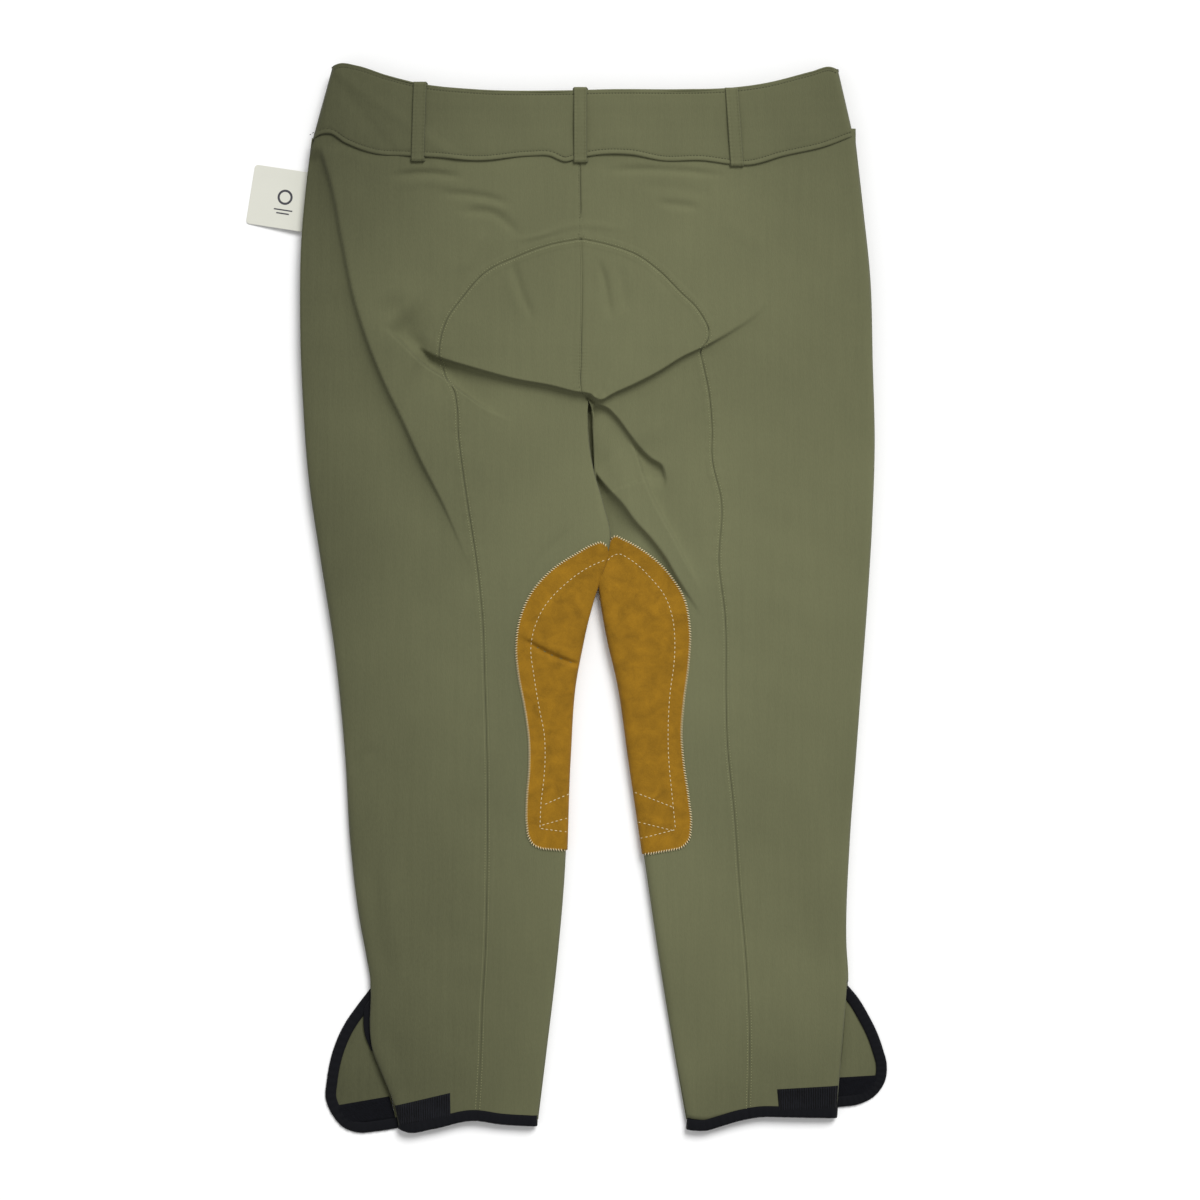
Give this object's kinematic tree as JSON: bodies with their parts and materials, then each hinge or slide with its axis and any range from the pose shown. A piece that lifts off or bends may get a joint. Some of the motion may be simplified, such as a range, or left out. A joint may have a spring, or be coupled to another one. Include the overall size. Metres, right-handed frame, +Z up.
{
  "type": "riding breeches",
  "caption": "Knee-patch riding breeches laid flat, back up: contoured waistband with belt loops, zip fly, suede knee patches, calf slits with touch-tape flaps, blank swing card.",
  "frame": {"origin": "crotch point, dropped onto the floor that the garment lies on", "axes": "+Y from the hems to the waist, +X to the side of the right leg, +Z up through the back of the garment"},
  "size_m": [0.554, 0.9029, 0.0264],
  "materials": {
    "twill": "olive stretch twill, matt",
    "waistband_twill": "olive stretch twill, matt",
    "elastic": "woven elastic",
    "suede": "tan suede, napped",
    "hook_tape": "black hook tape",
    "loop_tape": "black napped loop tape",
    "binding": "black knitted edge binding",
    "zip_tape": "woven zip tape",
    "zip_coil": "nylon coil",
    "zip_metal": "satin metal",
    "hook_metal": "satin metal",
    "card": "uncoated white card"
  },
  "bodies": {
    "breeches": {"back_facing": "waistband_twill", "back_hem_binding_left": "binding", "back_hem_binding_right": "binding", "back_outer_panel_left": "twill", "back_outer_panel_right": "twill", "back_waist_elastic": "elastic", "back_waistband": "waistband_twill", "belt_loop_back_left": "waistband_twill", "belt_loop_back_middle": "waistband_twill", "belt_loop_back_right": "waistband_twill", "belt_loop_front_left": "waistband_twill", "belt_loop_front_right": "waistband_twill", "fly_shield": "twill", "front_facing_left": "waistband_twill", "front_facing_right": "waistband_twill", "front_hem_binding_left": "binding", "front_hem_binding_right": "binding", "front_panel_left": "twill", "front_panel_right": "twill", "front_waist_elastic_left": "elastic", "front_waist_elastic_right": "elastic", "front_waistband_left": "waistband_twill", "front_waistband_right": "waistband_twill", "hook_tape_left": "hook_tape", "hook_tape_right": "hook_tape", "inner_seam_left": "twill", "inner_seam_right": "twill", "knee_patch_left": "suede", "knee_patch_right": "suede", "seat_panel_left": "twill", "seat_panel_right": "twill", "side_seam_left": "twill", "side_seam_right": "twill", "waist_bars": "hook_metal", "waist_hooks": "hook_metal", "waist_underlap": "waistband_twill", "zip_coil_left": "zip_coil", "zip_coil_right": "zip_coil", "zip_stops": "zip_metal", "zip_tape_left": "zip_tape", "zip_tape_right": "zip_tape"},
    "calf_flap_left": {"calf_flap_left": "twill", "flap_binding_left": "binding", "loop_tape_left": "loop_tape"},
    "calf_flap_right": {"calf_flap_right": "twill", "flap_binding_right": "binding", "loop_tape_right": "loop_tape"},
    "zip_slider": {"zip_slider": "zip_metal"},
    "zip_pull": {"zip_pull": "zip_metal"},
    "hang_tag": {"hang_tag": "card"}
  },
  "joints": [
    {"name": "flap_left_fold", "type": "hinge", "parent": "breeches", "child": "calf_flap_left", "pos_m": [-0.17287, -0.523, 0.00748], "axis": [-0.1576, 0.9875, 0], "range_deg": [0, 180]},
    {"name": "flap_right_fold", "type": "hinge", "parent": "breeches", "child": "calf_flap_right", "pos_m": [0.21773, -0.523, 0.00748], "axis": [-0.0736, -0.9973, 0], "range_deg": [0, 180]},
    {"name": "zip_slide", "type": "slide", "parent": "breeches", "child": "zip_slider", "axis": [0, -1, 0], "range_m": [0, 0.105]},
    {"name": "pull_swing", "type": "hinge", "parent": "zip_slider", "child": "zip_pull", "pos_m": [0, 0.2043, 0.0059], "axis": [1, 0, 0], "range_deg": [0, 160]},
    {"name": "card_swing", "type": "hinge", "parent": "breeches", "child": "hang_tag", "pos_m": [-0.2073, 0.1976, 0.0062], "axis": [0, 0, 1], "range_deg": [-25, 25]}
  ]
}
